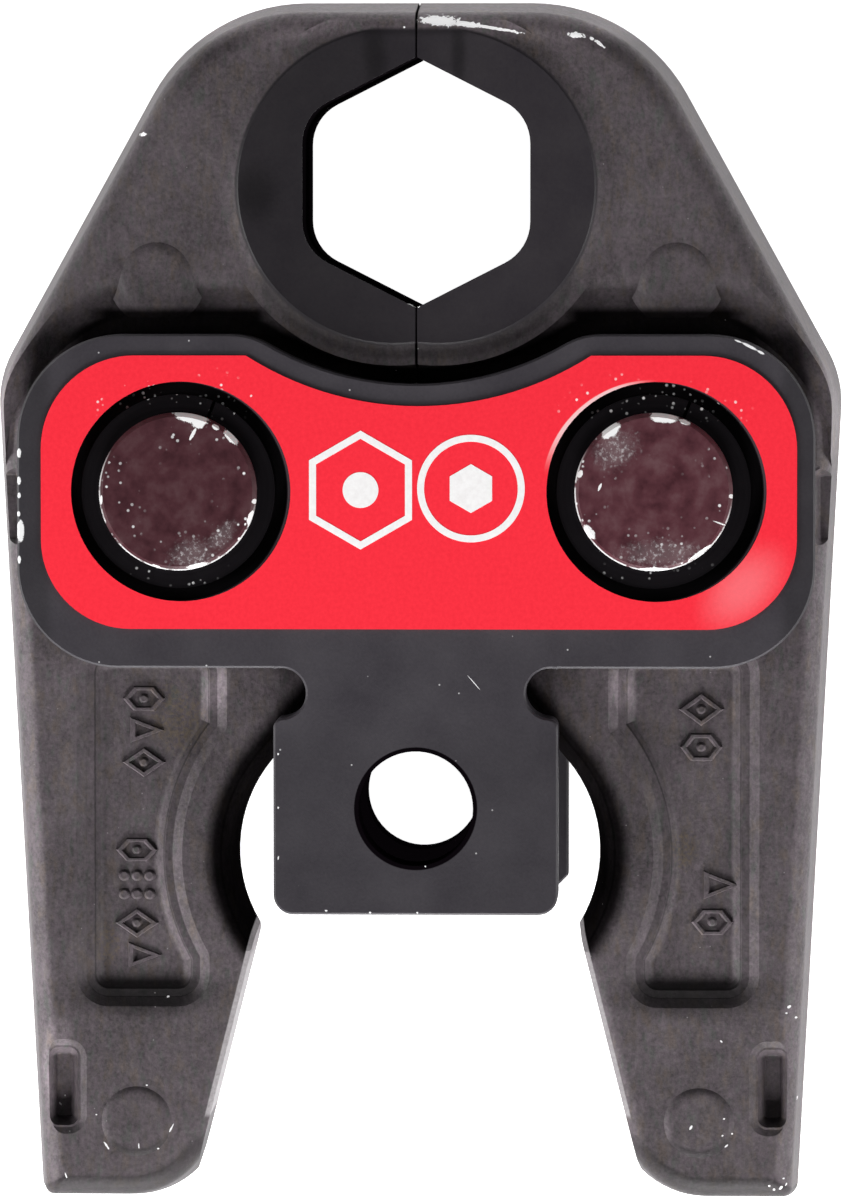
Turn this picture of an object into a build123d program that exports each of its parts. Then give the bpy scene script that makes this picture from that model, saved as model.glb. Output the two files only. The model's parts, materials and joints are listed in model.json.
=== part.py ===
from build123d import *
import math
import os

# Frame: origin in the centre of the locking-pin hole, at the middle of the thickness.
# +Y runs towards the pressing mouth, +X to the right arm, +Z to the labelled face.

# Pack of plates and arms along Z
web_half = 9.65
side_play = 0.10
plate_thickness = 7.0
plate_inner_z = web_half + side_play
plate_outer_z = plate_inner_z + plate_thickness
head_half = 13.7
ring_rise = 0.8
ring_half = head_half + ring_rise

# Pivots and the hole for the machine's locking pin
pivot_x = 29.2
pivot_y = 39.0
pivot_pin_radius = 9.70
pin_running_gap = 0.05
pin_seat_gap = 0.02
pin_proud = 0.85
pin_bevel = 0.5
locking_hole_radius = 7.05

# Side plates
plate_half_width = 49.0
plate_top_y = 58.3
plate_bottom_y = 17.3
plate_top_corner = 13.0
plate_bottom_corner = 12.5
dip_bottom_y = 52.2
dip_radius = 36.6
dip_blend = 9.0
plate_edge_break = 0.25
tongue_bottom_y = -13.1
front_tongue_half = 17.5
rear_tongue_half = 18.4
tongue_corner = 2.5
tongue_chamfer = 2.8
relief_hole_radius = 3.1
relief_hole_inset = 0.9
relief_lip = 1.2

# Retaining rings and the counterbores that hold them
ring_seat_radius = 13.4
ring_seat_depth = 2.4
snap_ring_thickness = 1.75
snap_ring_outer = 11.9
snap_groove_radius = 8.9
snap_ring_gap = 0.05
snap_ring_slit = 0.4
snap_slit_angle = 68.0

# Label
label_thickness = 0.3
label_half_width = 46.4
label_top_y = 55.7
label_bottom_y = 22.1
label_top_corner = 11.5
label_bottom_corner = 11.0
label_dip_y = 49.5
label_hole_radius = 13.5
label_shift = 0.35

# Arm outline at the parting plane of the forging
arm_gap = 0.10
arm_top_y = 99.2
arm_bottom_y = -49.75
top_corner_x = 27.0
top_corner_radius = 22.0
shoulder_x = 52.66
shoulder_y = 52.7
shoulder_radius = 13.0
heel_x = 47.2
heel_radius = 2.0
toe_radius = 11.5
forging_draft = 7.0
edge_round = 3.0
head_round = 3.0
overshoot = 12.0

# Roller relief and roller ramp on the inside of the leg
relief_vertex_x = 22.5
relief_vertex_y = -6.3
relief_radius = 17.6
relief_upper_angle = 40.0
relief_lower_angle = -31.0
ramp_corner_x = 19.95
ramp_angle = 14.1
ramp_stock = 1.5

# Step down from the head to the faces between the plates
step_dip_gap = 1.2
step_lobe_gap = 2.0
step_swing_radius = 22.7
step_swing_end = 20.0
step_swing_blend = 8.0
step_slope = 45.0
step_height = 5.0
step_top_round = 4.5

# Pressing mouth
mouth_y = 76.9
mouth_half_flats = 14.0
mouth_half_vertices = 15.4
mouth_slope = 27.0
mouth_corner = 5.7
bead_groove_radius = 17.2
bead_groove_width = 9.0
bead_groove_round = 3.0
ring_face_radius = 19.2
ring_face_offset = 2.7
ring_face_y = 76.4
ring_slope_width = 2.8
ring_root_depth = 1.5

# Recess in the leg, raised round marks and edge notches
recess_outer_x = 40.7
recess_top_y = 18.6
recess_bottom_y = -23.6
recess_wall = 8.3
recess_shoulder_x = 25.2
recess_toe_x = 27.4
recess_depth = 1.6
recess_wall_slope = 45.0
recess_floor_round = 1.0
recess_rim_width = 1.6
recess_rim_depth = 0.55
rim_slope = 66.0
recess_corner = 2.4
mark_radius = 4.1
mark_rise = 0.35
mark_root_depth = 1.6
mark_round = 2.4
head_mark_x = 32.0
head_mark_y = 65.2
leg_mark_x = 34.9
leg_mark_y = -39.5
notch_x = 44.0
notch_y = -35.2
notch_width = 4.0
notch_length = 10.0
notch_depth = 2.6
notch_corner = 1.4
notch_wall_slope = 22.0
notch_rim_width = 0.9
notch_rim_depth = 0.35
notch_floor_round = 0.3
side_notch_x = 50.6
side_notch_y = 36.8

# Closing spring between the arms
spring_y = 33.0
spring_wire = 2.5
spring_outer_radius = 6.3
spring_pocket_gap = 0.3
spring_wire_sides = 8
spring_turns = 5.5
spring_pitch = 2.6
spring_leg_length = 11.0


def mid_prism(sketch, half_height):
    """Prism of a sketch on both sides of the middle plane."""
    return extrude(sketch, amount=half_height, both=True)


def closed_face(points, radii):
    """Face inside a closed polyline whose corners have the given radii."""
    edges = FilletPolyline(*points, radius=radii, close=True)
    return make_face(edges)


def neck_relief(tongue_half):
    """Round relief between tongue and plate, with a rounded lip on the tongue's side."""
    relief_x = tongue_half - relief_hole_inset
    relief_y = plate_bottom_y - relief_hole_radius
    lip_x = tongue_half - relief_lip
    centre_distance = relief_hole_radius + relief_lip
    lip_y = relief_y - math.sqrt(centre_distance**2 - (lip_x - relief_x) ** 2)
    lip = Polyline(
        (relief_x, relief_y), (lip_x, lip_y), (tongue_half, lip_y), (tongue_half, relief_y),
        close=True,
    )
    corner = make_face(lip) - Pos(lip_x, lip_y) * Circle(relief_lip)
    return Pos(relief_x, relief_y) * Circle(relief_hole_radius) + corner


def side_plate(tongue_half, tongue_bevelled):
    """One T-shaped side plate, standing on Z = 0 with its outer face up."""
    body_height = plate_top_y - plate_bottom_y
    body_mid = (plate_top_y + plate_bottom_y) / 2
    body = Pos(0, body_mid) * Rectangle(2 * plate_half_width, body_height)
    upper = body.vertices().filter_by(lambda v: v.Y > body_mid)
    body = fillet(upper, plate_top_corner)
    lower = body.vertices().filter_by(lambda v: abs(v.Y - plate_bottom_y) < 0.01)
    body = fillet(lower, plate_bottom_corner)
    dip_center_y = dip_bottom_y + dip_radius
    body -= Pos(0, dip_center_y) * Circle(dip_radius)
    dip_half = math.sqrt(dip_radius**2 - (dip_center_y - plate_top_y) ** 2)
    rims = body.vertices().filter_by(
        lambda v: abs(abs(v.X) - dip_half) < 0.01 and abs(v.Y - plate_top_y) < 0.01
    )
    body = fillet(rims, dip_blend)

    tongue_top = body_mid
    tongue = Pos(0, (tongue_top + tongue_bottom_y) / 2) * Rectangle(
        2 * tongue_half, tongue_top - tongue_bottom_y
    )
    toes = tongue.vertices().filter_by(lambda v: v.Y < 0)
    if tongue_bevelled:
        tongue = chamfer(toes, tongue_chamfer)
    else:
        tongue = fillet(toes, tongue_corner)
    relief = neck_relief(tongue_half)
    profile = body + tongue - relief - mirror(relief, about=Plane.YZ)

    plate = extrude(profile, amount=plate_thickness)
    rim_edges = plate.faces().sort_by(Axis.Z)[-1].outer_wire().edges()
    plate = chamfer(rim_edges, plate_edge_break)
    rim_edges = plate.faces().sort_by(Axis.Z)[0].outer_wire().edges()
    plate = chamfer(rim_edges, plate_edge_break)
    plate -= Cylinder(locking_hole_radius, 3 * plate_thickness)
    for side in (-1, 1):
        pivot = Pos(side * pivot_x, pivot_y)
        plate -= pivot * Cylinder(pivot_pin_radius + pin_seat_gap, 3 * plate_thickness)
        seat = Pos(Z=plate_thickness) * Cylinder(ring_seat_radius, 2 * ring_seat_depth)
        plate -= pivot * seat
    return plate


def pivot_pin():
    """Ground pin with a ring groove near each end, centred on its own axis."""
    half_length = plate_outer_z + pin_proud
    pin = Cylinder(pivot_pin_radius, 2 * half_length)
    ends = pin.edges().filter_by(GeomType.CIRCLE)
    pin = chamfer(ends, pin_bevel)
    groove_floor = plate_outer_z - ring_seat_depth
    groove_width = snap_ring_thickness + 2 * snap_ring_gap
    groove = Cylinder(pivot_pin_radius + 1, groove_width) - Cylinder(snap_groove_radius, groove_width)
    for side in (-1, 1):
        pin -= Pos(Z=side * (groove_floor + groove_width / 2)) * groove
    return pin


def snap_ring():
    """Flat split ring, lying on Z = 0."""
    ring = Cylinder(snap_ring_outer, snap_ring_thickness) - Cylinder(
        snap_groove_radius + snap_ring_gap, snap_ring_thickness
    )
    slit = Pos(snap_ring_outer) * Box(snap_ring_outer, snap_ring_slit, 2 * snap_ring_thickness)
    ring -= Rot(Z=snap_slit_angle) * slit
    return Pos(Z=snap_ring_thickness / 2) * ring


def front_label():
    """Label sheet with a hole round each pin, lying on Z = 0."""
    height = label_top_y - label_bottom_y
    middle = (label_top_y + label_bottom_y) / 2
    sheet = Pos(0, middle) * Rectangle(2 * label_half_width, height)
    upper = sheet.vertices().filter_by(lambda v: v.Y > middle)
    sheet = fillet(upper, label_top_corner)
    lower = sheet.vertices().filter_by(lambda v: abs(v.Y - label_bottom_y) < 0.01)
    sheet = fillet(lower, label_bottom_corner)
    dip_center_y = dip_bottom_y + dip_radius
    sheet -= Pos(0, dip_center_y) * Circle(dip_center_y - label_dip_y)
    for side in (-1, 1):
        sheet -= Pos(side * pivot_x, pivot_y) * Circle(label_hole_radius)
    return Pos(label_shift) * extrude(sheet, amount=label_thickness)


def ramp_x(y):
    """Distance of the roller ramp from the middle at a height."""
    ramp_corner_y = relief_line_y(ramp_corner_x)
    return ramp_corner_x + (ramp_corner_y - y) * math.tan(math.radians(ramp_angle))


def relief_apex():
    """Corner where the two tangents of the roller relief meet."""
    upper = math.radians(relief_upper_angle)
    lower = math.radians(relief_lower_angle)
    middle = (upper + lower) / 2
    reach = relief_radius / math.cos((upper - lower) / 2)
    center_x = relief_vertex_x - relief_radius
    return center_x + reach * math.cos(middle), relief_vertex_y + reach * math.sin(middle)


def relief_line_y(x):
    """Height of the relief's lower tangent at a distance from the middle."""
    apex_x, apex_y = relief_apex()
    lower = math.radians(relief_lower_angle)
    return apex_y - (apex_x - x) * math.cos(lower) / math.sin(-lower)


def relief_upper_y(x):
    """Height of the relief's upper tangent at a distance from the middle."""
    apex_x, apex_y = relief_apex()
    upper = math.radians(relief_upper_angle)
    return apex_y + (apex_x - x) * math.cos(upper) / math.sin(upper)


def forging_outline():
    """Right arm's outline at the parting plane, with stock where it is machined."""
    stock_x = ramp_corner_x - ramp_stock
    points = [
        (-overshoot, arm_top_y),
        (-overshoot, relief_upper_y(-overshoot)),
        relief_apex(),
        (stock_x, relief_line_y(stock_x)),
        (ramp_x(arm_bottom_y) - ramp_stock, arm_bottom_y),
        (heel_x, arm_bottom_y),
        (shoulder_x, shoulder_y),
        (top_corner_x, arm_top_y),
    ]
    radii = [0, 0, relief_radius, 0, toe_radius, heel_radius, shoulder_radius, top_corner_radius]
    return closed_face(points, radii)


def step_outline(spread):
    """Area of the arm between and below the plates, grown by a spread."""
    dip_center_y = dip_bottom_y + dip_radius
    dip_edge = dip_radius - step_dip_gap - spread
    edge_y = plate_top_y + step_lobe_gap + spread
    dip_x = math.sqrt(dip_edge**2 - (dip_center_y - edge_y) ** 2)
    swing_radius = step_swing_radius + spread
    swing_start = math.asin((edge_y - pivot_y) / swing_radius)
    swing_end = math.radians(step_swing_end)
    swing_x = pivot_x + swing_radius * math.cos(swing_start)
    end = (
        pivot_x + swing_radius * math.cos(swing_end),
        pivot_y + swing_radius * math.sin(swing_end),
    )
    low_y = arm_bottom_y - overshoot
    with BuildLine() as line:
        ThreePointArc((-dip_x, edge_y), (0, dip_center_y - dip_edge), (dip_x, edge_y))
        Line((dip_x, edge_y), (swing_x, edge_y))
        CenterArc(
            (pivot_x, pivot_y), swing_radius, math.degrees(swing_start),
            step_swing_end - math.degrees(swing_start),
        )
        Polyline(end, (shoulder_x + overshoot, low_y), (-dip_x, low_y), (-dip_x, edge_y))
    area = make_face(line.edges())
    rim = area.vertices().filter_by(
        lambda v: abs(v.X - dip_x) < 0.01 and abs(v.Y - edge_y) < 0.01
    )
    area = fillet(rim, dip_blend + step_dip_gap + spread)
    rim = area.vertices().filter_by(
        lambda v: abs(v.X - swing_x) < 0.01 and abs(v.Y - edge_y) < 0.01
    )
    return fillet(rim, step_swing_blend + spread)


def recess_outline():
    """Shallow recess in the leg, curved along the roller relief."""
    center_x = relief_vertex_x - relief_radius
    inner_radius = relief_radius + recess_wall
    reach = recess_shoulder_x - center_x
    upper_y = relief_vertex_y + math.sqrt(inner_radius**2 - reach**2)
    reach = recess_toe_x - center_x
    lower_y = relief_vertex_y - math.sqrt(inner_radius**2 - reach**2)
    with BuildLine() as line:
        ThreePointArc(
            (recess_shoulder_x, upper_y),
            (center_x + inner_radius, relief_vertex_y),
            (recess_toe_x, lower_y),
        )
        Polyline(
            (recess_toe_x, lower_y), (recess_toe_x, recess_bottom_y),
            (recess_outer_x, recess_bottom_y), (recess_outer_x, recess_top_y),
            (recess_shoulder_x, recess_top_y), (recess_shoulder_x, upper_y),
        )
    area = make_face(line.edges())
    corners = area.vertices().filter_by(
        lambda v: abs(v.Y - recess_bottom_y) < 0.01 or abs(v.Y - recess_top_y) < 0.01
    )
    return fillet(corners, recess_corner)


def forged_block(height, rim_round):
    """Arm outline drawn up with draft, its top rim rounded."""
    block = extrude(forging_outline(), amount=height, taper=forging_draft)
    rim = block.faces().sort_by(Axis.Z)[-1].edges()
    return fillet(rim, rim_round)


def head_zone():
    """Space kept by the thick head above the step, with its top edge rounded."""
    top_y = arm_top_y + overshoot
    spread = step_height * math.tan(math.radians(step_slope))
    side_x = pivot_x + step_swing_radius + spread + overshoot / 2
    step = loft([step_outline(0), Pos(Z=step_height) * step_outline(spread)], ruled=True)
    corner = Pos(-overshoot)
    zone = corner * Box(side_x + overshoot, top_y, head_half, align=(Align.MIN, Align.MIN, Align.MIN))
    zone -= Pos(Z=web_half) * step
    zone -= extrude(step_outline(0), amount=2 * head_half)
    rim = zone.edges().filter_by(
        lambda e: min((e @ t).Z for t in (0, 0.5, 1)) > head_half - 0.01
        and -overshoot + 0.1 < (e @ 0.5).X < side_x - 0.1
        and 0.1 < (e @ 0.5).Y < top_y - 0.1
    )
    return fillet(rim, step_top_round)


def forged_half():
    """Front half of the right arm as forged, before machining."""
    leg = forged_block(web_half, edge_round)
    head = forged_block(head_half, head_round)
    return leg + (head & head_zone())


def mouth_outline():
    """Six-sided pressing contour with rounded side corners."""
    corner_y = mouth_half_vertices - mouth_half_flats * math.tan(math.radians(mouth_slope))
    points = [
        (0, mouth_half_vertices),
        (mouth_half_flats, corner_y),
        (mouth_half_flats, -corner_y),
        (0, -mouth_half_vertices),
        (-mouth_half_flats, -corner_y),
        (-mouth_half_flats, corner_y),
    ]
    radii = [0, mouth_corner, mouth_corner, 0, mouth_corner, mouth_corner]
    return Pos(0, mouth_y) * closed_face(points, radii)


def ring_face():
    """Raised round face at the mouth, on the front, flaring out to the head."""
    flare = (ring_slope_width**2 + ring_rise**2) / (2 * ring_rise)
    slope = math.asin(ring_slope_width / flare)
    outer_radius = ring_face_radius + ring_slope_width
    root_z = head_half - ring_root_depth
    mid_point = (
        outer_radius - flare * math.sin(slope / 2),
        head_half + flare * (1 - math.cos(slope / 2)),
    )
    with BuildLine() as line:
        ThreePointArc((outer_radius, head_half), mid_point, (ring_face_radius, ring_half))
        Polyline(
            (ring_face_radius, ring_half), (0, ring_half), (0, root_z),
            (outer_radius, root_z), (outer_radius, head_half),
        )
    boss = revolve(Plane.XZ * make_face(line.edges()), axis=Axis.Z)
    return Pos(ring_face_offset, ring_face_y) * boss & forged_block(ring_half, head_round)


def round_mark():
    """Raised round mark with sloped sides, rooted below the face at Z = 0."""
    height = mark_rise + mark_root_depth
    cone = Cone(mark_radius + height, mark_radius, height, align=(Align.CENTER, Align.CENTER, Align.MAX))
    rim = cone.edges().sort_by(Axis.Z)[-1]
    return Pos(Z=mark_rise) * fillet(rim, mark_round)


def soft_cutter(cutter, outline, floor_round, rim_width, rim_depth):
    """Cutter with its floor's edges rounded and a shallow sloped rim round its outline."""
    floor_edges = cutter.faces().sort_by(Axis.Z)[0].edges()
    rim_outline = offset(outline, amount=rim_width)
    rim = extrude(rim_outline, amount=-rim_depth, taper=rim_slope)
    return fillet(floor_edges, floor_round) + rim


def leg_recess():
    """Cutter for the shallow recess in the leg."""
    outline = recess_outline()
    recess = extrude(outline, amount=-recess_depth, taper=recess_wall_slope)
    return soft_cutter(recess, outline, recess_floor_round, recess_rim_width, recess_rim_depth)


def edge_notch():
    """Cutter for a small round-cornered notch."""
    outline = RectangleRounded(notch_width, notch_length, notch_corner)
    notch = extrude(outline, amount=-notch_depth, taper=notch_wall_slope)
    return soft_cutter(notch, outline, notch_floor_round, notch_rim_width, notch_rim_depth)


def bead_groove():
    """Cutter for the wide groove round the inside of the mouth."""
    groove = Cylinder(bead_groove_radius, bead_groove_width)
    rims = groove.edges().filter_by(GeomType.CIRCLE)
    return Pos(0, mouth_y) * fillet(rims, bead_groove_round)


def spring_pocket():
    """Cutter for the closing spring's room between the arms."""
    pocket_radius = spring_outer_radius + spring_pocket_gap
    pocket = Circle(pocket_radius)
    channel = Rectangle(2 * pocket_radius, spring_y, align=(Align.CENTER, Align.MAX))
    return Pos(0, spring_y) * mid_prism(pocket + channel, ring_half)


def right_arm():
    """Right jaw arm: forging with its machined faces."""
    half = forged_half() + ring_face()
    half -= Pos(Z=web_half) * leg_recess()
    head_mark = Pos(head_mark_x, head_mark_y, head_half) * round_mark()
    half += head_mark - Pos(Z=web_half) * extrude(step_outline(0), amount=head_half)
    half += Pos(leg_mark_x, leg_mark_y, web_half) * round_mark()
    half -= Pos(notch_x, notch_y, web_half) * edge_notch()
    half -= Pos(side_notch_x, side_notch_y, web_half) * edge_notch()
    arm = half + mirror(half, about=Plane.XY)

    # Parting face towards the other arm
    parting = Pos(arm_gap) * Rectangle(2 * overshoot, 4 * arm_top_y, align=(Align.MAX, Align.CENTER))
    arm -= mid_prism(parting, ring_half + 1)

    # Machined ramp for the pressing roller
    ramp_top_y = relief_line_y(ramp_corner_x)
    ramp_low_y = arm_bottom_y - overshoot
    ramp = Polyline(
        (-overshoot, ramp_top_y), (-overshoot, ramp_low_y),
        (ramp_x(ramp_low_y), ramp_low_y), (ramp_corner_x, ramp_top_y),
        close=True,
    )
    arm -= mid_prism(make_face(ramp), ring_half + 1)

    # Pressing contour with its groove, pivot bore and room for the spring
    arm -= mid_prism(mouth_outline(), ring_half + 1)
    arm -= bead_groove()
    arm -= Pos(pivot_x, pivot_y) * Cylinder(pivot_pin_radius + pin_running_gap, 3 * ring_half)
    arm -= spring_pocket()
    return arm


def closing_spring():
    """Torsion spring with a straight leg along each arm's inner face."""
    mean_radius = spring_outer_radius - spring_wire / 2
    coil_height = spring_turns * spring_pitch
    coil = Helix(spring_pitch, coil_height, mean_radius)
    first_tip = coil @ 0 - (coil % 0) * spring_leg_length
    last_tip = coil @ 1 + (coil % 1) * spring_leg_length
    path = Wire([Line(first_tip, coil @ 0), coil, Line(coil @ 1, last_tip)])
    section = Plane(first_tip, z_dir=coil % 0) * RegularPolygon(spring_wire / 2, spring_wire_sides)
    spring = sweep(section, path=path, is_frenet=True)
    return Pos(0, spring_y, -coil_height / 2) * spring


# All pieces in place
arm = right_arm()
pin = pivot_pin()
ring = snap_ring()
ring_z = plate_outer_z - ring_seat_depth + snap_ring_gap
front_plate = Pos(Z=plate_inner_z) * side_plate(front_tongue_half, False)
rear_plate = Pos(Z=plate_inner_z) * side_plate(rear_tongue_half, True)

nodes = {
    "jaw_arm_left": mirror(arm, about=Plane.YZ),
    "jaw_arm_right": arm,
    "side_plate_front": front_plate,
    "side_plate_rear": mirror(rear_plate, about=Plane.XY),
    "closing_spring": closing_spring(),
    "front_label": Pos(Z=plate_outer_z) * front_label(),
}
for name, side in (("left", -1), ("right", 1)):
    pivot = Pos(side * pivot_x, pivot_y)
    front_ring = pivot * Pos(Z=ring_z) * ring
    nodes["pivot_pin_" + name] = pivot * pin
    nodes["retaining_ring_front_" + name] = front_ring
    nodes["retaining_ring_rear_" + name] = mirror(front_ring, about=Plane.XY)

os.makedirs("parts", exist_ok=True)
for name, piece in nodes.items():
    export_step(piece, "parts/" + name + ".step")
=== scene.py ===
import json
import math

import bmesh
import bpy
from mathutils import Matrix, Vector


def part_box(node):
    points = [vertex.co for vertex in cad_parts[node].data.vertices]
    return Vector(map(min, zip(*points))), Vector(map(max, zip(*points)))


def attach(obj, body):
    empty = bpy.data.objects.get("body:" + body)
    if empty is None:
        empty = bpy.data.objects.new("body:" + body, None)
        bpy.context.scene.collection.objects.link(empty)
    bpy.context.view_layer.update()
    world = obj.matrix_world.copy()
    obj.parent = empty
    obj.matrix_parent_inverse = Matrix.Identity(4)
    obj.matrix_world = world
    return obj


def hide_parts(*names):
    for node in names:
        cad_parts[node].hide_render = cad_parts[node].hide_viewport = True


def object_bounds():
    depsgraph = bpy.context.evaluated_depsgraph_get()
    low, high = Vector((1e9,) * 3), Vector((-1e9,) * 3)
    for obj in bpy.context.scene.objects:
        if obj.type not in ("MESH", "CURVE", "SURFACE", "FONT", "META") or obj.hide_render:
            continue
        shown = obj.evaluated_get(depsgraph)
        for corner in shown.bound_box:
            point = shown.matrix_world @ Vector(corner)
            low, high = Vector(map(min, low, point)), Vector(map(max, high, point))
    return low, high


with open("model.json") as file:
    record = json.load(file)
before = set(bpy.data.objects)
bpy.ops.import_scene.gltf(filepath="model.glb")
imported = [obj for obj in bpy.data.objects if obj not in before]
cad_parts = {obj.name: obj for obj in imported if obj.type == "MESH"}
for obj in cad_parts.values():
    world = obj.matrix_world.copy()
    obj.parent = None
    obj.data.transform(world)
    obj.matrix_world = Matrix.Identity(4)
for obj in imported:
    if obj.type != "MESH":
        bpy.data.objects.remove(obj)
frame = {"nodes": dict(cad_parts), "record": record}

MM = 0.001
cad_box = [list(corner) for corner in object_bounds()]
cad = frame["nodes"]

# Places on the jaw, in millimetres
pivot = (29.2, 39.0)
pin_radius = 9.7
label_hole_radius = 13.5
ring_face_z = cad_box[1][2] / MM - 3.1
mouth_axis = (0.0, 76.9)
relief_center = (5.4, -6.3)
relief_radius = 17.6
relief_upper_angle = 40.0
leg_side_x = 49.86
leg_side_slope = 0.0558
recess_floor_z = 8.05
leg_face_z = 9.65
recess_rim_z = leg_face_z - 0.55
plate_face_z = 16.75
pin_face_z = 17.6
locking_hole = (0.0, 0.0)
ramp_angle = 14.1
ramp_reach = 16.7
head_from_y = (46.0, 50.0)
leg_below_y = (20.0, 19.0)

# How much lighter or darker some regions of the forging are; most of these are painted highlights
# and painted shade
head_gain = 1.03
leg_gain = 1.15
top_highlight_gain = 2.0
left_side_gain = 1.75
right_side_gain = 1.4
slope_gain = 0.38
flare_gain = 0.5
foot_gain = 0.35
left_wall_gain = 1.45
right_wall_gain = 1.2
notch_gain = 1.7
glint_gain = 2.0
shoulder_gain = 1.8
relief_shade_gain = 0.06
gap_shade_gain = 0.08
streak_gain = 0.55

rust_color = (0.078, 0.060, 0.040)
mouth_shade_color = (0.004, 0.003, 0.004)
hole_shade_color = (0.003, 0.002, 0.003)
sparkle_color = (0.40, 0.38, 0.39)
chip_color = (0.88, 0.87, 0.88)

# Spots on the surfaces: x, y, half length, half width, turn in degrees
# Chips on the arms, which the forging also makes glow a little as painted light
glowing_arm_chips = [
    (2.9, 96.7, 2.4, 0.62, -3), (6.2, 96.3, 1.8, 0.36, -8), (9.6, 95.8, 3.0, 0.18, -10),
    (19.7, 95.0, 1.0, 0.36, -8), (21.5, 94.5, 0.26, 0.2, 0), (22.5, 93.9, 0.7, 0.2, -38),
    (-33.7, 82.8, 0.5, 0.24, 10), (-1.5, 95.9, 0.16, 0.16, 0), (-0.3, 61.9, 0.7, 0.22, -15),
]
leg_chips = [
    (45.0, -47.6, 0.30, 0.16, 40), (44.2, -47.8, 0.16, 0.14, 0), (45.7, -47.2, 0.22, 0.10, 60),
    (43.6, -47.3, 0.14, 0.12, 0), (45.4, -46.4, 0.14, 0.10, 0), (47.1, -36.6, 0.28, 0.12, 80),
    (46.0, -25.0, 0.26, 0.14, 20), (45.7, -25.8, 0.14, 0.12, 0), (46.9, -26.4, 0.16, 0.12, 0),
    (37.6, -29.3, 0.20, 0.10, -40), (38.0, -38.9, 0.14, 0.10, 0), (39.0, -40.8, 0.12, 0.10, 0),
    (38.3, -42.3, 0.22, 0.10, 40), (37.8, -41.0, 0.12, 0.10, 0), (33.9, -40.0, 0.30, 0.14, 60),
    (-44.6, -37.6, 0.34, 0.14, -60), (-44.0, -36.6, 0.14, 0.12, 0), (-38.6, -42.6, 0.5, 0.10, -55),
    (-34.6, -42.6, 0.34, 0.07, 92), (-30.6, -40.4, 0.55, 0.10, 62), (-33.6, -35.0, 0.12, 0.10, 0),
    (-43.7, -46.3, 0.4, 0.07, 110), (-32.2, -42.9, 0.16, 0.10, 0), (-39.9, -38.7, 0.12, 0.10, 0),
    (-31.0, -24.0, 0.18, 0.12, 20),
]
rust_spots = [(-29.6, 10.4, 3.0, 4.2, 20), (-38.6, -17.6, 1.4, 2.6, 0), (33.0, -5.5, 1.6, 2.2, 0)]
# Painted highlights at the top of each recess
shoulder_glints = [(-25.0, 14.3, 2.4, 1.5, 80), (25.4, 14.2, 2.3, 1.6, 100)]
ring_streaks = [(-5.0, 92.4, 1.3, 3.6, 4), (5.2, 92.6, 0.8, 3.6, 0), (-19.8, 75.6, 2.4, 3.0, 0)]
# Painted highlights on the arms' shoulders
shoulder_highlights = [(-50.4, 49.0, 7.0, 2.2, 68), (50.4, 49.0, 7.0, 2.2, -68)]
# Painted shade at the foot of each recess
recess_foot_shade = [(-33.9, -23.6, 8.4, 2.6, 0), (33.9, -23.6, 8.4, 2.6, 0)]
# Painted highlight on the notch floor
notch_highlights = [(-44.6, -32.6, 2.0, 5.6, 0)]
# Painted highlight on the label
label_highlight = [(40.2, 27.2, 4.6, 2.8, 45)]
plate_chips = [
    (-48.75, 43.7, 0.55, 0.26, 90), (-48.75, 40.3, 0.50, 0.24, 90), (-48.75, 38.5, 0.34, 0.20, 90),
    (-48.80, 36.2, 0.34, 0.20, 90), (-48.60, 34.1, 1.35, 0.45, 90), (-48.75, 30.6, 0.50, 0.20, 90),
    (40.9, 56.85, 1.0, 0.17, -27), (42.3, 56.1, 0.5, 0.14, -27), (39.5, 57.5, 0.45, 0.10, -22),
    (7.2, 15.5, 1.1, 0.05, -49), (-16.9, 6.7, 0.10, 0.14, 0), (-16.9, 0.1, 0.10, 0.12, 0),
    (-16.9, -6.1, 0.22, 0.08, 80), (-11.0, -12.6, 0.16, 0.10, 0), (-5.6, -12.8, 0.14, 0.10, 0),
    (-2.4, -13.2, 0.24, 0.12, 20), (0.2, -12.8, 0.12, 0.10, 0), (1.2, -7.1, 0.10, 0.10, 0),
]
pin_chips = [
    (-27.6, 48.3, 2.2, 0.85, -14), (-26.6, 47.6, 0.9, 0.8, 0), (-27.3, 46.1, 0.9, 0.2, 62),
    (-22.6, 45.7, 1.15, 0.5, -46), (-24.5, 46.9, 0.45, 0.3, -30), (-20.2, 35.7, 1.0, 0.4, 74),
    (-19.7, 37.8, 0.36, 0.3, 0), (-26.7, 29.8, 1.3, 0.45, 12), (-31.8, 29.7, 0.7, 0.25, -18),
    (-38.6, 38.0, 0.16, 0.6, 0), (30.4, 48.3, 1.7, 0.8, -6), (33.0, 47.6, 0.7, 0.3, -20),
    (23.9, 46.6, 1.35, 0.8, 38), (20.2, 41.2, 0.5, 0.3, 68), (21.3, 34.1, 1.0, 0.55, -50),
    (29.4, 29.5, 2.2, 0.24, 0), (34.9, 31.6, 1.7, 0.2, 35), (38.7, 38.5, 0.28, 0.28, 0),
    (37.3, 35.2, 0.9, 0.09, -20), (22.6, 39.6, 0.5, 0.15, 66),
]
pin_smudges = [
    (-23.8, 33.6, 1.9, 0.8, 45), (-27.4, 31.2, 2.2, 1.6, 10), (24.6, 44.2, 2.3, 1.7, 30),
    (30.0, 31.5, 4.0, 1.4, 0),
]


# Node helpers

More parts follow.
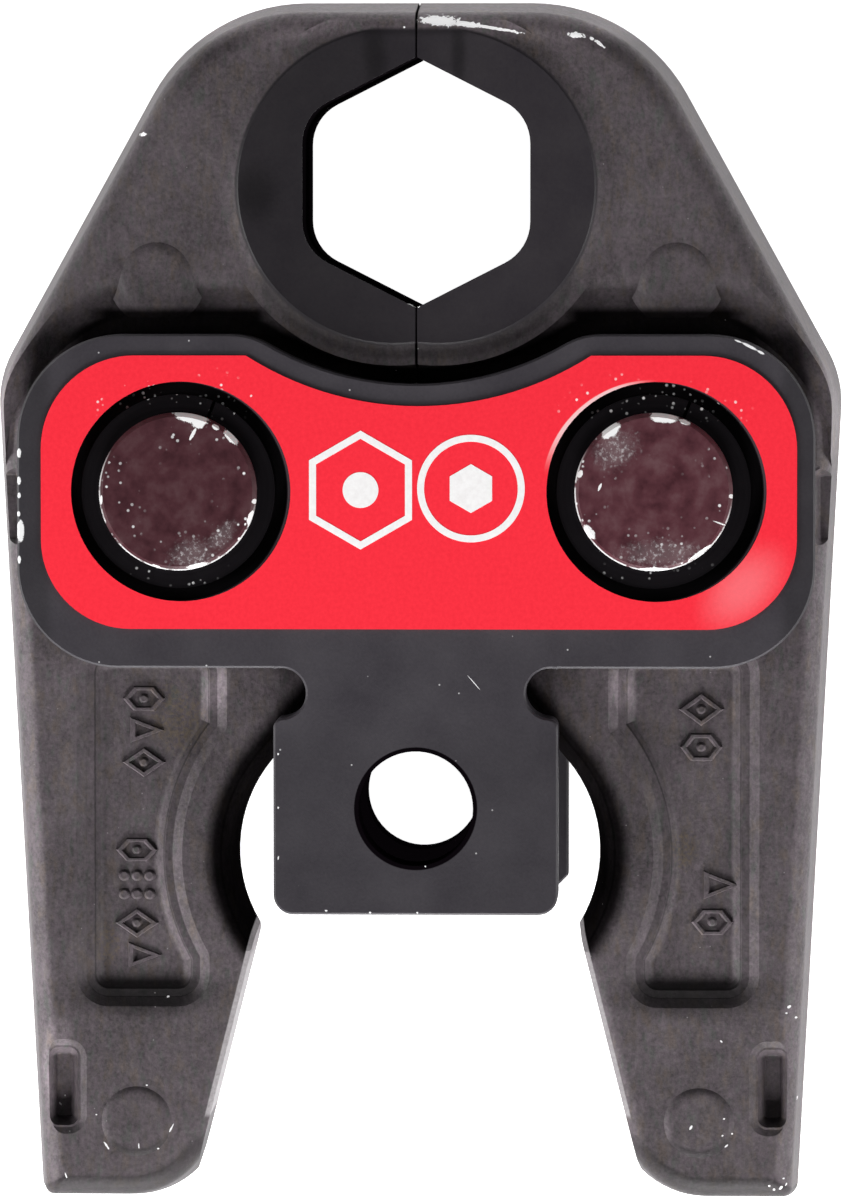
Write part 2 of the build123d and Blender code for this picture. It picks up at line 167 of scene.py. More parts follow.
class Shade:
    """One material under construction. Its positions are in millimetres, in the row frame."""

    def __init__(self, name, **constants):
        self.material = bpy.data.materials.new(name)
        self.material.use_nodes = True
        self.tree = self.material.node_tree
        self.tree.nodes.clear()
        output = self.node("ShaderNodeOutputMaterial")
        self.bsdf = self.node("ShaderNodeBsdfPrincipled")
        self.link(self.bsdf.outputs["BSDF"], output.inputs["Surface"])
        for socket, value in constants.items():
            self.bsdf.inputs[socket.replace("_", " ")].default_value = value
        coords = self.node("ShaderNodeTexCoord")
        scale = self.node("ShaderNodeVectorMath", operation="SCALE")
        scale.inputs["Scale"].default_value = 1 / MM
        self.link(coords.outputs["Object"], scale.inputs[0])
        self.place = scale.outputs["Vector"]
        parts = self.node("ShaderNodeSeparateXYZ")
        self.link(self.place, parts.inputs[0])
        self.x, self.y, self.z = parts.outputs
        facing = self.node("ShaderNodeSeparateXYZ")
        self.link(coords.outputs["Normal"], facing.inputs[0])
        self.facing_x, self.facing_y, _ = facing.outputs

    def node(self, kind, **settings):
        made = self.tree.nodes.new(kind)
        for key, value in settings.items():
            setattr(made, key, value)
        return made

    def link(self, source, target):
        self.tree.links.new(source, target)

    def feed(self, target, value):
        if isinstance(value, bpy.types.NodeSocket):
            self.link(value, target)
        else:
            target.default_value = value

    def math(self, operation, first, second=None):
        made = self.node("ShaderNodeMath", operation=operation)
        self.feed(made.inputs[0], first)
        if second is not None:
            self.feed(made.inputs[1], second)
        return made.outputs[0]

    def plus(self, first, second):
        return self.math("ADD", first, second)

    def minus(self, first, second):
        return self.math("SUBTRACT", first, second)

    def unsigned(self, value):
        """Value without its sign."""
        return self.math("ABSOLUTE", value)

    def larger(self, *values):
        """Largest of several values, and so the union of masks."""
        most = values[0]
        for value in values[1:]:
            most = self.math("MAXIMUM", most, value)
        return most

    def times(self, *values):
        """Product of several values, and so what masks have in common."""
        product = values[0]
        for value in values[1:]:
            product = self.math("MULTIPLY", product, value)
        return product

    def step(self, value, low, high):
        """0 below low and 1 above high, or the other way round where low is the larger."""
        made = self.node("ShaderNodeMapRange", interpolation_type="SMOOTHSTEP")
        flipped = low > high
        self.feed(made.inputs["Value"], value)
        made.inputs["From Min"].default_value = min(low, high)
        made.inputs["From Max"].default_value = max(low, high)
        made.inputs["To Min"].default_value = 1.0 if flipped else 0.0
        made.inputs["To Max"].default_value = 0.0 if flipped else 1.0
        return made.outputs["Result"]

    def remap(self, value, low, high):
        """Value from 0 to 1 stretched to low to high."""
        return self.plus(self.times(value, high - low), low)

    def noise(self, size, detail=2.0, roughness=0.5, seed=0.0, stretch=None, place=None):
        """Noise with features of about a size in millimetres."""
        made = self.node("ShaderNodeTexNoise", noise_dimensions="4D")
        made.inputs["W"].default_value = seed
        made.inputs["Scale"].default_value = 1 / size
        made.inputs["Detail"].default_value = detail
        made.inputs["Roughness"].default_value = roughness
        place = place or self.place
        if stretch:
            squeeze = self.node("ShaderNodeVectorMath", operation="MULTIPLY")
            self.link(place, squeeze.inputs[0])
            squeeze.inputs[1].default_value = stretch
            place = squeeze.outputs["Vector"]
        self.link(place, made.inputs["Vector"])
        return made.outputs["Fac"]

    def specks(self, spacing, radius, share, seed):
        """Scattered round dots: a share of the cells of a spacing has one."""
        shifted = self.node("ShaderNodeVectorMath", operation="ADD")
        self.link(self.place, shifted.inputs[0])
        shifted.inputs[1].default_value = (seed * 37.0, seed * 11.0, seed * 5.0)
        made = self.node("ShaderNodeTexVoronoi", feature="F1")
        made.inputs["Scale"].default_value = 1 / spacing
        self.link(shifted.outputs["Vector"], made.inputs["Vector"])
        parts = self.node("ShaderNodeSeparateColor")
        self.link(made.outputs["Color"], parts.inputs[0])
        dot = self.step(made.outputs["Distance"], 1.2 * radius / spacing, 0.6 * radius / spacing)
        return self.times(dot, self.step(parts.outputs[0], 1 - share, 1.001 - share))

    def spots(self, places, z, depth, ragged, seed, soft=0.12):
        """Mask of ellipses about (x, y, half length, half width, turn) with ragged rims."""
        nearest = None
        for x, y, length, width, turn in places:
            local = self.node("ShaderNodeMapping", vector_type="TEXTURE")
            local.inputs["Location"].default_value = (x, y, z)
            local.inputs["Rotation"].default_value = (0, 0, math.radians(turn))
            local.inputs["Scale"].default_value = (length, width, depth)
            self.link(self.place, local.inputs["Vector"])
            size = self.node("ShaderNodeVectorMath", operation="LENGTH")
            self.link(local.outputs["Vector"], size.inputs[0])
            reach = size.outputs["Value"]
            nearest = reach if nearest is None else self.math("MINIMUM", nearest, reach)
        frayed = self.remap(self.noise(0.5, 3, 0.7, seed), -ragged, ragged)
        return self.step(self.plus(nearest, frayed), 1 + soft, 1 - soft)

    def ramp(self, value, stops):
        """Color ramp through stops of a position and a color."""
        made = self.node("ShaderNodeValToRGB")
        points = made.color_ramp.elements
        while len(points) < len(stops):
            points.new(0.5)
        for point, (position, color) in zip(points, stops):
            point.position = position
            point.color = (*color, 1)
        self.feed(made.inputs[0], value)
        return made.outputs["Color"]

    def mix(self, amount, first, second):
        """Color between two, by an amount from 0 to 1."""
        made = self.node("ShaderNodeMix", data_type="RGBA")
        self.feed(made.inputs[0], amount)
        for socket, value in ((made.inputs[6], first), (made.inputs[7], second)):
            if isinstance(value, tuple):
                value = (*value, 1)
            self.feed(socket, value)
        return made.outputs[2]

    def shine(self, color, gain):
        """Color made lighter or darker by a gain."""
        made = self.node("ShaderNodeVectorMath", operation="SCALE")
        self.feed(made.inputs[0], color)
        self.feed(made.inputs["Scale"], gain)
        return made.outputs["Vector"]

    def shade(self, color, mask, gain):
        """Color made lighter or darker by a gain inside a mask."""
        return self.shine(color, self.blend(mask, 1.0, gain))

    def blend(self, amount, first, second):
        """Number between two, by an amount from 0 to 1."""
        made = self.node("ShaderNodeMix", data_type="FLOAT")
        self.feed(made.inputs[0], amount)
        self.feed(made.inputs[2], first)
        self.feed(made.inputs[3], second)
        return made.outputs[0]

    def polar(self, center):
        """(radius, offset in y) of each point about an upright axis and its mirror image."""
        dx = self.minus(self.unsigned(self.x), center[0])
        dy = self.minus(self.y, center[1])
        square = self.plus(self.math("POWER", dx, 2.0), self.math("POWER", dy, 2.0))
        return self.math("SQRT", square), dy

    def rings(self, radius, size, seed):
        """Noise that only changes with the radius, as on a turned face."""
        place = self.node("ShaderNodeCombineXYZ")
        self.link(radius, place.inputs[0])
        return self.noise(size, 2, 0.6, seed, place=place.outputs[0])

    def bump(self, height, distance_mm, strength=1.0):
        made = self.node("ShaderNodeBump")
        made.inputs["Strength"].default_value = strength
        made.inputs["Distance"].default_value = distance_mm * MM
        self.feed(made.inputs["Height"], height)
        return made.outputs["Normal"]

    def surface(self, **sockets):
        for name, value in sockets.items():
            self.feed(self.bsdf.inputs[name.replace("_", " ")], value)
        return self.material


# Materials

def scale_color(s, grain, pits, cloud):
    """Forging scale of purple, grey and brown tints with a few rusty spots, and a painted
    highlight along the head's top edge.
    """
    hue = s.noise(1.6, 3, 0.6, 4.0, stretch=(1.5, 0.55, 1.0))
    tint = s.ramp(hue, [
        (0.34, (0.065, 0.063, 0.062)),
        (0.46, (0.079, 0.064, 0.073)),
        (0.54, (0.073, 0.063, 0.067)),
        (0.66, (0.081, 0.065, 0.062)),
    ])
    spots = s.spots(rust_spots, recess_floor_z, 3.0, 1.2, 21.0, 0.4)
    rust = s.times(spots, s.step(grain, 0.42, 0.6), 0.7)
    tint = s.mix(rust, tint, rust_color)
    tone = s.plus(s.remap(grain, -0.7, 0.7), s.remap(pits, 0.55, 1.45))
    tone = s.plus(tone, s.remap(cloud, -0.45, 0.45))
    lengthwise = s.blend(s.step(s.y, 45.0, 15.0), head_gain, leg_gain)
    # Painted highlight: the band along the head's top edge is made lighter
    top = s.blend(s.step(s.y, 93.5, 96.2), 1.0, top_highlight_gain)
    return s.shine(tint, s.times(tone, lengthwise, top))


def paint_side_highlights(s, color, from_side):
    """Painted highlight on the long outer sides, stronger on the left arm."""
    outward = s.times(s.facing_x, s.math("SIGN", s.x))
    side_highlight = s.times(s.step(outward, 0.08, 0.4), s.step(outward, 1.3, 0.5),
                     s.step(from_side, leg_side_x - 4.5, leg_side_x - 3.0))
    gain = s.blend(s.step(s.x, -1.0, 1.0), left_side_gain, right_side_gain)
    return s.shine(color, s.blend(side_highlight, 1.0, gain))


def paint_slope_shade(s, color, depth, inward, foot_shade):
    """Painted shade on slopes that face the legs' ends and at the foot of each recess, and a
    painted shadow on the flare under the round face.
    """
    upward = s.times(s.step(s.facing_y, 0.08, 0.6), s.step(s.y, 30.0, 20.0))
    downward = s.step(s.facing_y, -0.03, -0.22)
    toes = s.times(downward, s.step(s.y, -40.0, -43.0))
    flare = s.times(downward, s.step(s.y, 74.0, 68.0), s.step(s.y, *head_from_y),
                    s.step(depth, 13.2, 13.6), s.step(inward, 20.5, 18.5))
    color = s.shade(color, s.larger(upward, toes), slope_gain)
    color = s.shade(color, flare, flare_gain)
    return s.shade(color, foot_shade, foot_gain)


def shade_recess(s, color, depth, from_side, foot_shade):
    """Recess walls: painted highlights on the side slopes, with painted shade in a crease under
    the rim.
    """
    legs = s.step(s.y, *leg_below_y)
    flat = s.step(from_side, leg_side_x - 3.5, leg_side_x - 4.5)
    leftward = s.times(s.step(s.facing_x, -0.1, -0.45), s.step(s.facing_x, -0.97, -0.85),
                       legs, flat)
    rightward = s.times(s.step(s.facing_x, 0.1, 0.45), s.step(s.x, 0.0, 1.0), legs, flat)
    color = s.shade(color, leftward, left_wall_gain)
    color = s.shade(color, rightward, right_wall_gain)
    rim_offset = s.unsigned(s.minus(depth, recess_rim_z))
    ledge = s.times(s.step(rim_offset, 0.05, 0.02), s.blend(foot_shade, 0.12, 0.65))
    wall_offset = s.unsigned(s.minus(depth, recess_rim_z - 0.14))
    crease = s.times(s.step(wall_offset, 0.14, 0.06), 0.45)
    inside = s.times(legs, s.step(s.y, -27.0, -26.0), flat)
    return s.shade(color, s.times(s.larger(ledge, crease), inside), 0.0)


def add_glints(s, color):
    """Painted highlights: lighter patches in the notches, over the recesses and on the arms'
    shoulders.
    """
    for places, depth, ragged, seed, soft, gain in (
        (notch_highlights, 6.0, 0.2, 33.0, 0.3, notch_gain),
        (shoulder_glints, 4.0, 0.3, 29.0, 0.6, glint_gain),
        (shoulder_highlights, 12.0, 0.1, 34.0, 0.5, shoulder_gain),
    ):
        color = s.shade(color, s.spots(places, leg_face_z, depth, ragged, seed, soft), gain)
    return color


def paint_relief_shade(s, inward):
    """Mask of painted shade along the roller relief: its arc, then its straight upper side."""
    radius, _ = s.polar(relief_center)
    slant = math.radians(relief_upper_angle)
    across = s.plus(s.times(inward, math.cos(slant)), s.times(s.y, math.sin(slant)))
    center_across = relief_center[0] * math.cos(slant) + relief_center[1] * math.sin(slant)
    reach = s.blend(s.step(s.y, 4.4, 5.6), radius, s.minus(across, center_across))
    near = s.step(reach, relief_radius + 4.2, relief_radius + 2.0)
    return s.times(near, s.step(s.y, 40.0, 30.0))


def paint_gap_shade(s, depth, inward):
    """Mask of painted shade over the plates, under the head's marks and in the joint between the
    arms.
    """
    over_plates = s.times(s.step(depth, 11.2, 10.0), s.step(s.y, *head_from_y),
                          s.step(s.y, 66.0, 64.0), s.step(inward, 46.0, 41.0))
    marks_foot = s.times(s.step(s.y, 62.0, 60.8), s.step(s.y, *head_from_y),
                         s.step(inward, 17.5, 20.0), s.step(inward, 42.0, 38.0))
    joint = s.times(s.step(inward, 0.24, 0.12), s.step(s.y, 40.0, 50.0))
    return s.larger(over_plates, marks_foot, joint)


def round_face_color(s, grain, cloud):
    """Machined face round the mouth, smooth and nearly black, with darker streaks."""
    smooth = s.ramp(s.blend(0.4, cloud, grain), [
        (0.35, (0.018, 0.0155, 0.019)),
        (0.65, (0.026, 0.023, 0.026)),
    ])
    smooth = s.shine(smooth, s.blend(s.step(s.x, -12.0, 12.0), 0.93, 1.38))
    return s.shade(smooth, s.spots(ring_streaks, ring_face_z, 3.0, 0.5, 31.0, 0.7), streak_gain)


def forged_steel():
    s = Shade("forged_steel", Metallic=0.0, Emission_Color=(1.0, 1.0, 1.0, 1.0))
    grain = s.noise(0.4, 3, 0.6, 1.0)
    pits = s.noise(1.1, 3, 0.6, 2.0, stretch=(1.5, 0.6, 1.0))
    cloud = s.noise(7.0, 3, 0.55, 3.0)
    depth = s.unsigned(s.z)
    inward = s.unsigned(s.x)
    from_side = s.minus(inward, s.times(s.y, leg_side_slope))

    # The forged skin with its rust, and painted highlights and painted shade
    foot_shade = s.spots(recess_foot_shade, leg_face_z, 4.0, 0.2, 30.0, 0.55)
    relief_shade_mask = paint_relief_shade(s, inward)
    gap_shade_mask = paint_gap_shade(s, depth, inward)
    color = scale_color(s, grain, pits, cloud)
    color = paint_side_highlights(s, color, from_side)
    color = paint_slope_shade(s, color, depth, inward, foot_shade)
    color = shade_recess(s, color, depth, from_side, foot_shade)
    color = add_glints(s, color)
    color = s.shade(color, relief_shade_mask, relief_shade_gain)
    color = s.shade(color, gap_shade_mask, gap_shade_gain)

    # Machined faces: round the mouth, painted shade on the wall inside it, and the bare ramp for
    # the roller
    face = s.step(depth, ring_face_z - 0.30, ring_face_z - 0.08)
    color = s.mix(face, color, round_face_color(s, grain, cloud))
    bore, _ = s.polar(mouth_axis)
    below_face = s.step(depth, ring_face_z - 0.05, ring_face_z - 0.15)
    wall = s.times(s.step(bore, 17.4, 16.8), below_face)
    color = s.mix(wall, color, mouth_shade_color)
    ramp_line = s.plus(inward, s.times(s.y, math.tan(math.radians(ramp_angle))))
    ramp_face = s.times(s.step(ramp_line, ramp_reach + 0.08, ramp_reach - 0.08),
                        s.step(s.y, -13.2, -13.8), s.step(s.y, -39.2, -38.4))
    bare = s.ramp(grain, [(0.3, (0.26, 0.24, 0.25)), (0.7, (0.38, 0.36, 0.37))])
    color = s.mix(ramp_face, color, bare)

    # Fine sparkles and bright chips; the chips on the arms also glow a little, as painted light
    dust = s.times(s.specks(1.5, 0.09, 0.2, 1.0), s.minus(1.0, face), 0.4)
    glowing_arm_chip_mask = s.spots(glowing_arm_chips, ring_face_z - 0.8, 4.0, 1.3, 22.0)
    bright_leg = s.spots(leg_chips, leg_face_z, 4.0, 1.1, 23.0)
    color = s.mix(dust, color, sparkle_color)
    color = s.mix(s.larger(glowing_arm_chip_mask, bright_leg), color, chip_color)

    # Scale grain, weaker on the machined face
    grainy = s.times(s.blend(0.5, grain, pits), s.blend(face, 1.0, 0.25))
    return s.surface(
        Base_Color=color,
        Roughness=s.blend(face, s.remap(cloud, 0.46, 0.62), 0.42),
        Normal=s.bump(grainy, 0.16, 0.75),
        Specular_IOR_Level=s.blend(s.larger(relief_shade_mask, wall, gap_shade_mask), 0.22, 0.0),
        Emission_Strength=s.times(glowing_arm_chip_mask, 0.35),
    )


def dark_counterbore(s, radius):
    """Black tone with faint turned rings for the counterbores round the pins."""
    return s.ramp(s.rings(radius, 0.5, 15.0), [
        (0.35, (0.0022, 0.0014, 0.0024)),
        (0.70, (0.0050, 0.0038, 0.0052)),
    ])


def pin_dust(s, radius, dy, share):
    """Mask of the white dust round the pins, densest above them."""
    above = s.times(s.step(radius, 16.2, 14.4), s.step(dy, 8.0, 11.5))
    below = s.times(s.step(radius, 12.0, 11.2), s.step(dy, -8.5, -10.5), 0.8)
    patchy = s.step(s.noise(3.0, 2, 0.5, 16.0), 0.44, 0.56)
    return s.times(s.specks(0.7, 0.2, share, 2.0), s.larger(above, below), patchy)


def plate_steel():
    s = Shade("plate_steel", Metallic=0.0)
    grain = s.noise(0.35, 3, 0.6, 5.0)
    cloud = s.noise(8.0, 3, 0.5, 6.0)
    radius, dy = s.polar(pivot)

    # Black oxide, darker on the tongue and at the plate's ends
    color = s.ramp(s.blend(0.4, cloud, grain), [
        (0.35, (0.034, 0.030, 0.037)),
        (0.65, (0.052, 0.047, 0.055)),
    ])
    color = s.shade(color, s.step(s.y, 12.0, 6.0), 0.88)
    color = s.shade(color, s.step(s.unsigned(s.x), 44.0, 46.0), 0.66)

    # Counterbores, and painted shade in the locking-pin hole and on the hidden side round it
    bore = s.step(radius, label_hole_radius + 0.04, label_hole_radius - 0.02)
    color = s.mix(bore, color, dark_counterbore(s, radius))
    hole_radius, _ = s.polar(locking_hole)
    inner_side = s.times(s.step(s.unsigned(s.z), 16.0, 15.0), s.step(hole_radius, 14.0, 11.0))
    hole = s.larger(s.step(hole_radius, 7.65, 7.5), inner_side)
    color = s.mix(hole, color, hole_shade_color)

    # Bright chips, dust round the pins and scattered sparkles
    chips = s.spots(plate_chips, plate_face_z, 1.5, 0.5, 24.0)
    sparkles = s.times(s.specks(2.2, 0.12, 0.3, 3.0), 0.5)
    bright = s.larger(chips, pin_dust(s, radius, dy, 0.42), sparkles)
    color = s.mix(bright, color, (0.85, 0.85, 0.86))
    shadowed = s.larger(hole, s.times(bore, 0.7))
    return s.surface(
        Base_Color=color,
        Roughness=s.remap(cloud, 0.40, 0.54),
        Normal=s.bump(grain, 0.05, 0.5),
        Specular_IOR_Level=s.blend(shadowed, 0.4, 0.0),
    )


def pin_steel():
    s = Shade("pin_steel", Metallic=0.0, Specular_IOR_Level=0.3)
    radius, dy = s.polar(pivot)
    cloud = s.noise(2.6, 4, 0.6, 8.0)
    turned = s.rings(radius, 1.3, 9.0)

    # Ground end, browned by oxide and paler on the right-hand pin
    color = s.ramp(s.blend(0.2, cloud, turned), [
        (0.36, (0.036, 0.009, 0.013)),
        (0.50, (0.062, 0.019, 0.025)),
        (0.66, (0.088, 0.040, 0.046)),
    ])
    color = s.shade(color, s.step(s.x, -5.0, 5.0), 1.4)

    # Smudges, then chips, a painted highlight on the lower rim that is partly bare metal from
    # wear, and dots of dust
    flecks = s.plus(s.step(s.noise(0.5, 4, 0.7, 32.0), 0.50, 0.66), 0.15)
    smudge = s.times(s.spots(pin_smudges, pin_face_z, 2.0, 0.9, 25.0, 0.6), flecks, 0.7)
    color = s.mix(smudge, color, (0.55, 0.52, 0.53))
    outward = s.minus(s.unsigned(s.x), pivot[0])
    side = s.times(outward, s.math("SIGN", s.x))
    lower = s.step(s.plus(dy, s.times(side, 0.35)), 3.0, -1.5)
    rim_patches = s.step(s.noise(1.4, 3, 0.6, 26.0), 0.36, 0.50)
    rim = s.times(s.step(radius, pin_radius - 0.22, pin_radius - 0.08), lower, rim_patches, 0.85)
    dots = s.times(s.specks(0.8, 0.2, 0.5, 4.0), s.step(radius, 3.5, 9.0),
                   s.step(s.noise(3.2, 2, 0.5, 27.0), 0.46, 0.60))
    chips = s.spots(pin_chips, pin_face_z, 1.5, 0.55, 28.0)
    color = s.mix(s.larger(chips, rim, dots), color, (0.88, 0.88, 0.88))
    return s.surface(
        Base_Color=color,
        Roughness=s.remap(cloud, 0.34, 0.5),
        Normal=s.bump(cloud, 0.04, 0.5),
    )


def ring_steel():
    s = Shade("ring_steel", Metallic=0.0, Specular_IOR_Level=0.12)
    radius, dy = s.polar(pivot)
    cloud = s.noise(1.5, 3, 0.6, 10.0)
    color = s.mix(pin_dust(s, radius, dy, 0.42), dark_counterbore(s, radius), (0.8, 0.8, 0.8))
    return s.surface(Base_Color=color, Roughness=s.remap(cloud, 0.42, 0.6))


def spring_steel():
    s = Shade("spring_steel", Metallic=1.0)
    cloud = s.noise(1.0, 2, 0.5, 11.0)
    color = s.ramp(cloud, [(0.3, (0.20, 0.19, 0.18)), (0.7, (0.36, 0.35, 0.34))])
    return s.surface(Base_Color=color, Roughness=s.remap(cloud, 0.3, 0.4))


def label_film():
    s = Shade("label_film", Metallic=0.0, Specular_IOR_Level=0.2)
    grain = s.noise(0.5, 2, 0.6, 12.0)
    radius, dy = s.polar(pivot)
    color = s.ramp(grain, [(0.3, (0.90, 0.020, 0.040)), (0.7, (0.96, 0.029, 0.051))])
    # Painted highlight: a pale patch towards the lower right of the label
    label_highlight_mask = s.spots(label_highlight, plate_face_z, 3.0, 0.2, 34.0, 0.8)
    color = s.mix(s.times(label_highlight_mask, 0.2), color, (1.0, 0.62, 0.66))

    # Pale cut edge at the right-hand hole and dust round the pins
    at_hole = s.step(radius, label_hole_radius + 0.30, label_hole_radius + 0.12)
    cut_edge = s.times(at_hole, s.step(dy, 2.0, 8.0), s.step(s.x, 30.0, 24.0),
                       s.step(s.x, 0.0, 2.0), 0.7)
    bright = s.larger(pin_dust(s, radius, dy, 0.35), cut_edge)
    color = s.mix(bright, color, (0.93, 0.80, 0.80))
    return s.surface(Base_Color=color, Roughness=s.remap(grain, 0.48, 0.56))


def label_white():
    s = Shade("label_white", Metallic=0.0, Specular_IOR_Level=0.2)
    grain = s.noise(0.6, 2, 0.6, 13.0)
    color = s.ramp(grain, [(0.3, (0.86, 0.84, 0.84)), (0.7, (0.94, 0.93, 0.93))])
    return s.surface(Base_Color=color, Roughness=s.remap(grain, 0.45, 0.55))


def floor_paper():
    """Pale paper, lit from within a little so that it stays white."""
    s = Shade("floor_paper", Metallic=0.0, Roughness=0.9,
              Emission_Color=(1.0, 1.0, 1.0, 1.0), Emission_Strength=1.0)
    grain = s.noise(3.0, 2, 0.5, 14.0)
    color = s.ramp(grain, [(0.3, (0.93, 0.93, 0.93)), (0.7, (0.95, 0.95, 0.95))])
    return s.surface(Base_Color=color)


materials = {
    "forged_steel": forged_steel(),
    "plate_steel": plate_steel(),
    "pin_steel": pin_steel(),
    "ring_steel": ring_steel(),
    "spring_steel": spring_steel(),
    "label_film": label_film(),
    "label_white": label_white(),
}


def paint(obj, material):
    """One material on the whole object."""
    obj.data.materials.clear()
    obj.data.materials.append(material)


for entry in frame["record"]["subparts"]:
    paint(cad[entry["node"]], materials[entry["material_slot"]])


# Geometry helpers

top_softness = 0.8


def piece(name, bm, body, material):
    """Object from a finished bmesh in millimetres, riding on a body."""
    mesh = bpy.data.meshes.new(name)
    bmesh.ops.recalc_face_normals(bm, faces=bm.faces)
    bm.to_mesh(mesh)
    bm.free()
    mesh.transform(Matrix.Scale(MM, 4))
    made = bpy.data.objects.new(name, mesh)
    bpy.context.scene.collection.objects.link(made)
    paint(made, material)
    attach(made, body)
    return made


def add_loft(bm, loops, closed=False):
    """Skin over loops of as many points each, capped at both ends unless closed."""
    rows = [[bm.verts.new(point) for point in loop] for loop in loops]
    pairs = list(zip(rows, rows[1:]))
    if closed:
        pairs.append((rows[-1], rows[0]))
    else:
        bm.faces.new(rows[0][::-1])
        bm.faces.new(rows[-1])
    for a, b in pairs:
        for i in range(len(a)):
            j = (i + 1) % len(a)
            bm.faces.new((a[i], a[j], b[j], b[i]))


def loop_of(count, center, radius, z, stretch=(1.0, 1.0), turn=0.0):
    """Points on a circle or regular polygon, stretched along X and Y."""
    points = []
    for i in range(count):
        angle = turn + 2 * math.pi * i / count
        x = center[0] + radius * stretch[0] * math.cos(angle)
        y = center[1] + radius * stretch[1] * math.sin(angle)
        points.append((x, y, z))
    return points


def add_ring(bm, count, center, outer, inner, low, high, draft=0.0, stretch=(1.0, 1.0), turn=0.0):
    """Ring or polygon outline with sloped sides and a softened top."""
    soft = draft * top_softness
    profile = [
        (outer + draft, low), (outer, high - soft), (outer - soft, high),
        (inner + soft, high), (inner, high - soft), (inner - draft, low),
    ]
    if not draft:
        profile = [profile[0], profile[2], profile[3], profile[5]]
    add_loft(bm, [loop_of(count, center, r, z, stretch, turn) for r, z in profile], closed=True)


def add_pad(bm, count, center, radius, low, high, draft=0.0, stretch=(1.0, 1.0), turn=0.0):
    """Flat-topped round or polygonal pad with sloped sides."""
    soft = draft * top_softness
    profile = [(radius + draft, low), (radius, high - soft), (radius - soft, high)]
    if not draft:
        profile = profile[:1] + profile[2:]
    add_loft(bm, [loop_of(count, center, r, z, stretch, turn) for r, z in profile])


# Printed motifs on the label

upright = math.pi / 2
label_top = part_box("front_label")[1].z / MM
print_top = label_top + 0.03
left_motif = (-6.75, 39.2)
right_motif = (6.8, 39.4)
prints = bmesh.new()
add_ring(prints, 6, left_motif, 7.3, 6.3, label_top, print_top, turn=upright)
add_pad(prints, 48, left_motif, 2.2, label_top, print_top)
add_ring(prints, 96, right_motif, 6.6, 5.75, label_top, print_top)
add_pad(prints, 6, right_motif, 3.0, label_top, print_top, turn=upright)
piece("label_motifs", prints, "plates", materials["label_white"])


# Raised plain shapes in the recesses

mark_root_z = recess_floor_z - 0.1
mark_top_z = recess_floor_z + 0.42
mark_stroke = 0.62
mark_draft = 0.2
dot_sides = 16


def add_mark(bm, sides, center, half, dotted):
    """One raised outline about 2 x half across X and Y, with or without a dot inside."""
    stretch = (1.0, half[1] / half[0])
    stroke = mark_stroke / math.cos(math.pi / sides)
    add_ring(bm, sides, center, half[0], half[0] - stroke, mark_root_z, mark_top_z,
             mark_draft, stretch)
    if dotted:
        add_pad(bm, dot_sides, center, mark_stroke * 0.8, mark_root_z, mark_top_z, mark_draft)


def add_dots(bm, center, half):
    """Row of three raised dots."""
    for step in (-1, 0, 1):
        spot = (center[0] + step * half[0] * 0.75, center[1])
        add_pad(bm, dot_sides, spot, half[1] * 0.75, mark_root_z, mark_top_z, mark_draft)


left_marks = [
    (6, (-34.0, 13.0), (2.5, 1.7), True), (3, (-34.3, 9.1), (2.7, 1.8), False),
    (4, (-34.0, 5.1), (2.6, 1.8), True), (6, (-34.9, -5.8), (2.5, 1.6), True),
    (4, (-34.9, -14.9), (2.6, 1.8), True), (3, (-34.6, -18.9), (2.7, 1.8), False),
]
left_dots = [((-34.9, -9.0), (2.1, 0.8)), ((-34.9, -11.3), (2.1, 0.8))]
right_marks = [
    (4, (35.1, 11.8), (2.7, 2.0), True), (6, (35.1, 7.1), (2.5, 1.9), True),
    (3, (36.9, -10.0), (2.9, 2.0), False), (6, (36.5, -14.6), (2.5, 1.8), True),
]
for body, marks, dots in (("left_arm", left_marks, left_dots), ("right_arm", right_marks, [])):
    raised = bmesh.new()
    for sides, center, half, dotted in marks:
        add_mark(raised, sides, center, half, dotted)
    for center, half in dots:
        add_dots(raised, center, half)
    piece(body + "_marks", raised, body, materials["forged_steel"])


# Closing spring of round wire, on the solid spring's path

spring_y = 33.0
wire_radius = 1.25
coil_radius = 5.05
coil_pitch = 2.6
coil_turns = 5.5
leg_length = 11.0
steps_per_turn = 40


def spring_path():
    """Points along the lower leg, the coil and the upper leg."""
    height = coil_turns * coil_pitch
    coil = []
    for i in range(int(coil_turns * steps_per_turn) + 1):
        angle = 2 * math.pi * i / steps_per_turn
        x = coil_radius * math.cos(angle)
        y = spring_y + coil_radius * math.sin(angle)
        z = coil_pitch * i / steps_per_turn - height / 2
        coil.append(Vector((x, y, z)))
    rise = coil_pitch / (2 * math.pi)
    first_way = Vector((0.0, coil_radius, rise)).normalized()
    last_angle = 2 * math.pi * coil_turns
    last_way = Vector((
        -coil_radius * math.sin(last_angle), coil_radius * math.cos(last_angle), rise,
    )).normalized()
    return [coil[0] - first_way * leg_length] + coil + [coil[-1] + last_way * leg_length]


def add_wire(bm, path, radius, count=20):
    """Round wire along a path, without twist."""
    loops = []
    across = None
    for i, point in enumerate(path):
        way = (path[min(i + 1, len(path) - 1)] - path[max(i - 1, 0)]).normalized()
        across = Vector((0, 0, 1)) if across is None else across
        across = (across - way * across.dot(way)).normalized()
        other = way.cross(across)
        loop = []
        for k in range(count):
            angle = 2 * math.pi * k / count
            loop.append(point + radius * (math.cos(angle) * across + math.sin(angle) * other))
        loops.append(loop)
    add_loft(bm, loops)


wire = bmesh.new()
add_wire(wire, spring_path(), wire_radius)
for face in wire.faces:
    face.smooth = len(face.verts) == 4
spring = piece("round_spring", wire, "plates", materials["spring_steel"])
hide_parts("closing_spring")


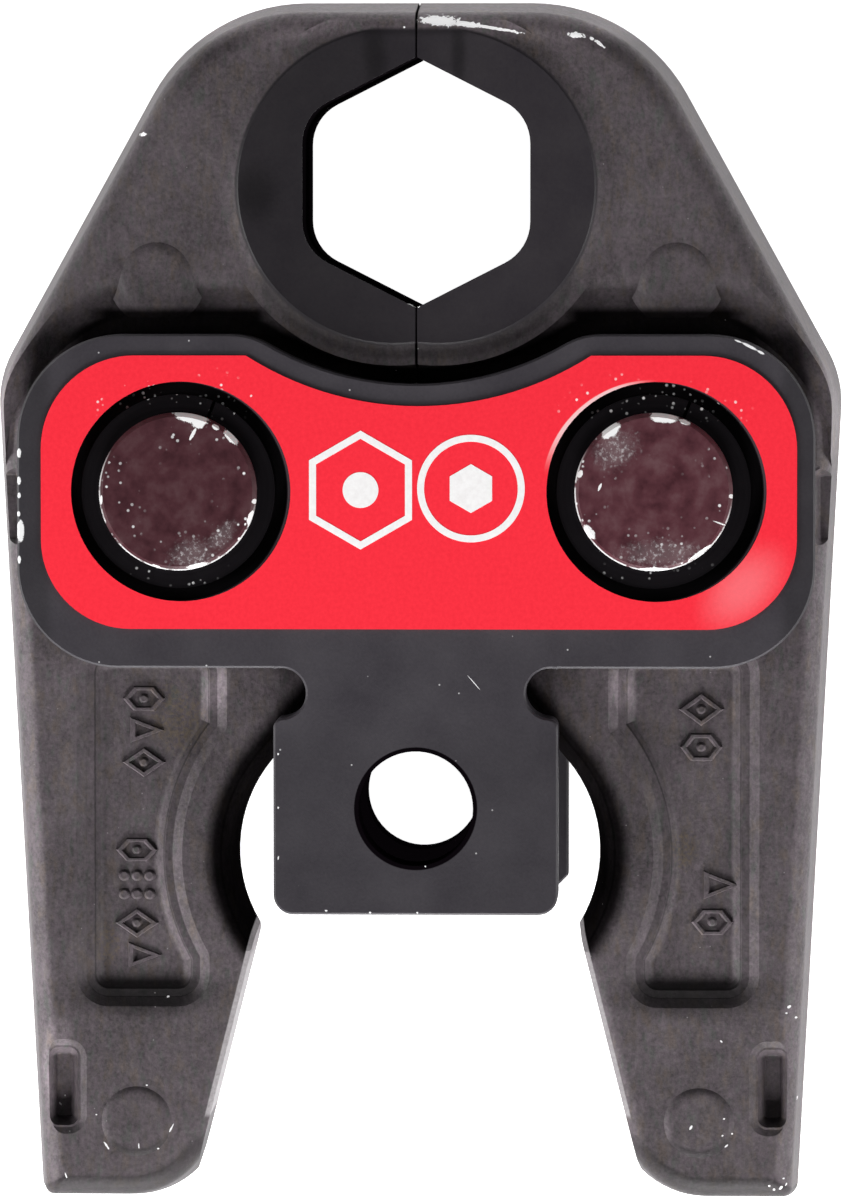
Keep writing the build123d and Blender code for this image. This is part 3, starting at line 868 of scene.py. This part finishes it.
# Floor, light and camera

floor_mesh = bpy.data.meshes.new("floor")
floor_z = cad_box[0][2]
floor_half = 3.0
corners = [(-1, -1), (1, -1), (1, 1), (-1, 1)]
floor_mesh.from_pydata(
    [(floor_half * x, floor_half * y, floor_z) for x, y in corners], [], [(0, 1, 2, 3)],
)
floor = bpy.data.objects.new("floor", floor_mesh)
bpy.context.scene.collection.objects.link(floor)
paint(floor, floor_paper())

world = bpy.data.worlds.new("studio")
world.use_nodes = True
background = world.node_tree.nodes["Background"]
background.inputs["Color"].default_value = (1, 1, 1, 1)
background.inputs["Strength"].default_value = 0.08
bpy.context.scene.world = world


def soft_light(name, place, target, size, power):
    """Square area light that faces a target."""
    data = bpy.data.lights.new(name, "AREA")
    data.shape = "SQUARE"
    data.size = size
    data.energy = power
    light = bpy.data.objects.new(name, data)
    light.location = place
    light.rotation_mode = "QUATERNION"
    light.rotation_quaternion = (Vector(target) - Vector(place)).to_track_quat("-Z", "Y")
    bpy.context.scene.collection.objects.link(light)


middle = (0.0, 0.025, 0.0)
soft_light("front", (0.0, -0.90, 0.36), middle, 0.5, 14.0)
soft_light("left", (-0.85, -0.10, 0.40), middle, 0.45, 6.9)
soft_light("right", (0.85, -0.10, 0.40), middle, 0.45, 4.6)

camera_data = bpy.data.cameras.new("camera")
camera_data.lens = 244.8
camera_data.sensor_width = 36.0
camera = bpy.data.objects.new("camera", camera_data)
bpy.context.scene.collection.objects.link(camera)
eye = Vector((33.65, 74.8, 1016.75)) * MM
aim = Vector((0.73, 25.7, 16.75)) * MM
back = (eye - aim).normalized()
right = Vector((0, 1, 0)).cross(back).normalized()
up = back.cross(right)
camera.matrix_world = Matrix.Translation(eye) @ Matrix((right, up, back)).transposed().to_4x4()
camera_data.clip_start = 0.05
camera_data.clip_end = 20.0
bpy.context.scene.camera = camera

scene = bpy.context.scene
scene.view_settings.view_transform = "Standard"
scene.view_settings.look = "None"
scene.view_settings.exposure = 0.0
scene.view_settings.gamma = 1.0
